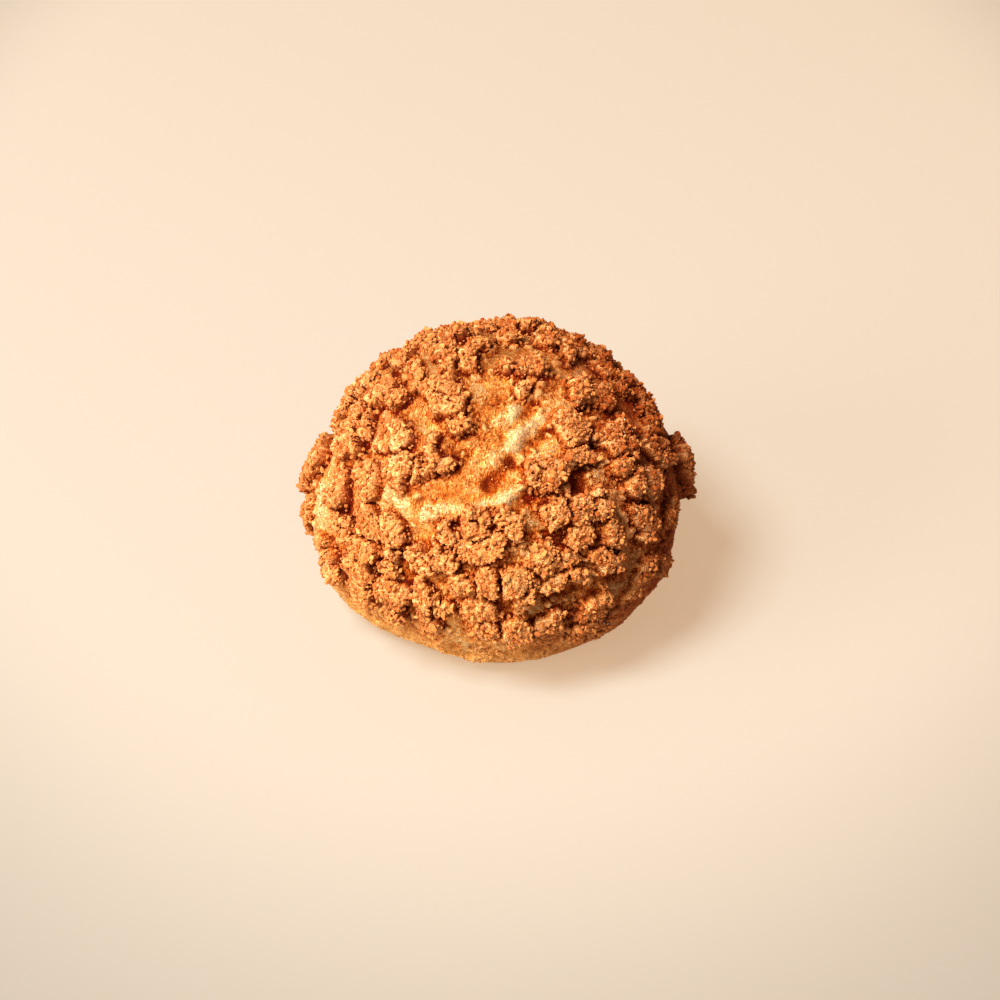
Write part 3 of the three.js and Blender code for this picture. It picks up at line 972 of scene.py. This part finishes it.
def scatter(name, seed, tries, crumb, span, sunk, clump_chance, edge_chance, skin_chance):
    """Loose crumbs, half sunk in the clumps and their sides, and thinly strewn on the skin."""
    corners, sides = (len(part) for part in crumb)
    random = np.random.default_rng(seed)
    dirs = front_heavy(unit(random.normal(size=(tries, 3))))
    surface, facts, slope = surface_and_slope(dirs)
    normal = unit(slope + 0.5 * dirs)

    edge = facts["edge"]
    chance = np.where(edge > 0, clump_chance, skin_chance * (0.1 + 0.9 * facts["film"]))
    chance = np.where((edge > EDGE_BAND[0]) & (edge < EDGE_BAND[1]), edge_chance, chance)
    chance *= smooth_step(0.8, 3, surface[:, 2])
    chance *= np.where(edge > 0, 0.1 + 0.9 * smooth_step(0.1, 0.45, facts["crack"]), 1)
    kept = np.flatnonzero(random.random(tries) < chance)[: MOST_FACES // sides]
    half = span[0] + (span[1] - span[0]) * random.random(len(kept)) ** 2
    half *= np.where(edge[kept] < EDGE_BAND[0], SKIN_CRUMB_SIZE, 1)
    spots = surface[kept] - normal[kept] * (sunk * half)[:, None]
    piece = make_crumbs(name, random, crumb, spots, half, crumb_material(name))

    shade = EDGE_SHADE * smooth_step(0.5, -0.3, edge[kept]) * (edge[kept] > -1)
    rim = 1 - smooth_step(*RIM_LEVELS, surface[kept][:, 2])
    spread = CRUMB_TONE_SPREAD * random.normal(size=len(kept))
    tone = np.clip(CRUMB_TONE - shade + RIM_TINT * rim + spread, 0, 1)
    add_value(piece, "tone", np.repeat(tone, corners))
    # browning, and painted shade where the crumbs turn from the key lamp
    browning_and_shade = browned_and_shaded(dirs[kept], surface[kept], unit(0.5 * slope[kept] + 0.5 * dirs[kept]))
    add_value(piece, "browning_and_shade", np.repeat(browning_and_shade, corners))


SUGAR_SPOTS = [(66.5, 29), (75, 35), (44, 67.5), (92, 33.5), (58, 66.5)]  # (tilt, bearing)
SUGAR_GRAINS = 70  # round each spot
SUGAR_REACH = 1.5  # millimetres; about two in three lie closer along each axis
SUGAR_SIZES = (0.1, 0.2)
SUGAR_LIFT = 0.12
SUGAR_FROM_EDGE = -0.3
SUGAR_COLOURS = linear(250, 222, 184), linear(255, 248, 232)


def sugar_material():
    g = Graph("sugar")
    cloud = g.noise(1800, 2)
    g.finish(g.mix(cloud, *SUGAR_COLOURS), g.span(cloud, 0.3, 0.7, 0.25, 0.45))
    return g.material


def scatter_sugar(seed, crumb):
    """Sugar grains that stayed white, in a few patches on the right."""
    random = np.random.default_rng(seed)
    middles = np.repeat([direction(*spot) for spot in SUGAR_SPOTS], SUGAR_GRAINS, 0)
    shift = random.normal(size=middles.shape) * SUGAR_REACH / SHELL_RADIUS
    surface, facts, slope = surface_and_slope(unit(middles + shift))
    half = SUGAR_SIZES[0] + (SUGAR_SIZES[1] - SUGAR_SIZES[0]) * random.random(len(middles)) ** 2
    kept = facts["edge"] > SUGAR_FROM_EDGE
    spots = (surface + SUGAR_LIFT * slope)[kept]
    make_crumbs("sugar", random, crumb, spots, half[kept], sugar_material())


# the corners and faces of an octahedron
EIGHT_SIDED = (
    np.vstack([np.eye(3), -np.eye(3)]),
    np.array([
        (0, 1, 2), (1, 3, 2), (3, 4, 2), (4, 0, 2), (1, 0, 5), (3, 1, 5), (4, 3, 5), (0, 4, 5),
    ]),
)

make_puff()
scatter(
    "crumbs", seed=7, tries=19000, crumb=make_ball(1), span=(0.24, 0.55), sunk=0.5,
    clump_chance=0.5, edge_chance=0.95, skin_chance=0.05,
)
scatter(
    "grains", seed=8, tries=46000, crumb=EIGHT_SIDED, span=(0.17, 0.36), sunk=0.35,
    clump_chance=0.6, edge_chance=0.75, skin_chance=0.35,
)
scatter_sugar(9, EIGHT_SIDED)

# ---------------------------------------------------------------- floor, camera and light

FLOOR_SIZE = 6.0
bpy.ops.mesh.primitive_plane_add(size=FLOOR_SIZE, location=(0, 0, 0))
floor = bpy.context.object
floor.name = "floor"
floor.data.materials.append(floor_material())

CAMERA_ELEVATION = math.radians(FRONT_ELEVATION)
CAMERA_DISTANCE = 0.480
CAMERA_LENS = 85
LOOK_AT = Vector((0, 0, 0.0199))

camera = bpy.data.objects.new("camera", bpy.data.cameras.new("camera"))
bpy.context.scene.collection.objects.link(camera)
camera.data.lens = CAMERA_LENS
camera.data.sensor_width = 36
camera.data.clip_start = 0.01
away = Vector((0, -math.cos(CAMERA_ELEVATION), math.sin(CAMERA_ELEVATION)))
camera.location = LOOK_AT + CAMERA_DISTANCE * away
camera.rotation_euler = away.to_track_quat("Z", "Y").to_euler()
bpy.context.scene.camera = camera


def add_area_light(name, bearing, elevation, distance, size, power, colour):
    """A round lamp that faces the puff; bearing and elevation are in degrees, seen from it."""
    lamp = bpy.data.objects.new(name, bpy.data.lights.new(name, "AREA"))
    bpy.context.scene.collection.objects.link(lamp)
    lamp.data.shape = "DISK"
    lamp.data.size = size
    lamp.data.energy = power
    lamp.data.color = colour
    b, e = math.radians(bearing), math.radians(elevation)
    toward = Vector((math.sin(b) * math.cos(e), -math.cos(b) * math.cos(e), math.sin(e)))
    lamp.location = distance * toward
    lamp.rotation_euler = toward.to_track_quat("Z", "Y").to_euler()


KEY_COLOUR = (1, 0.98, 0.95)
FILL_COLOUR = (1, 0.93, 0.84)
STUDIO_COLOUR = (1.0, 0.88, 0.77, 1)
STUDIO_STRENGTH = 0.42
PICTURE_GAMMA = 0.85

add_area_light("key", -54, 60, distance=1.3, size=0.5, power=28.2, colour=KEY_COLOUR)
add_area_light("fill", -62, 18, distance=1.2, size=0.8, power=14, colour=FILL_COLOUR)
world = bpy.data.worlds.new("studio")
bpy.context.scene.world = world
world.use_nodes = True
background = world.node_tree.nodes["Background"]
background.inputs["Color"].default_value = STUDIO_COLOUR
background.inputs["Strength"].default_value = STUDIO_STRENGTH
bpy.context.scene.view_settings.view_transform = "Standard"
bpy.context.scene.view_settings.gamma = PICTURE_GAMMA
